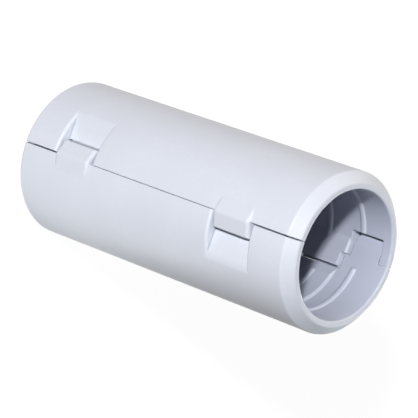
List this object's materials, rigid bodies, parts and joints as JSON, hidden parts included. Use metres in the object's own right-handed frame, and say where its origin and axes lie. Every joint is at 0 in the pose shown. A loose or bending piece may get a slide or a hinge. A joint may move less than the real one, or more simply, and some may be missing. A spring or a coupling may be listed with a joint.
{
  "type": "clip on ferrite bead",
  "caption": "Round clip-on ferrite bead: a split plastic sleeve with pry tabs and snap tongues that closes a split ferrite core around a cable.",
  "frame": {"origin": "middle of the lower rim's plane, on the cable axis", "axes": "+Z along the cable axis, -Y towards the side that faces the camera in the picture, +X square to the parting plane, towards the right half"},
  "size_m": [0.03, 0.0312, 0.0716],
  "materials": {
    "case_plastic": "moulded, pale bluish grey, satin",
    "ferrite": "sintered, dark grey, with ground mating faces"
  },
  "bodies": {
    "right_half": {"right_case_half": "case_plastic", "right_core_half": "ferrite"},
    "left_half": {"left_case_half": "case_plastic", "left_core_half": "ferrite"}
  },
  "joints": [
    {"name": "left_half_pull", "type": "slide", "parent": "right_half", "child": "left_half", "axis": [-1, 0, 0], "range_m": [0, 0.03]}
  ]
}
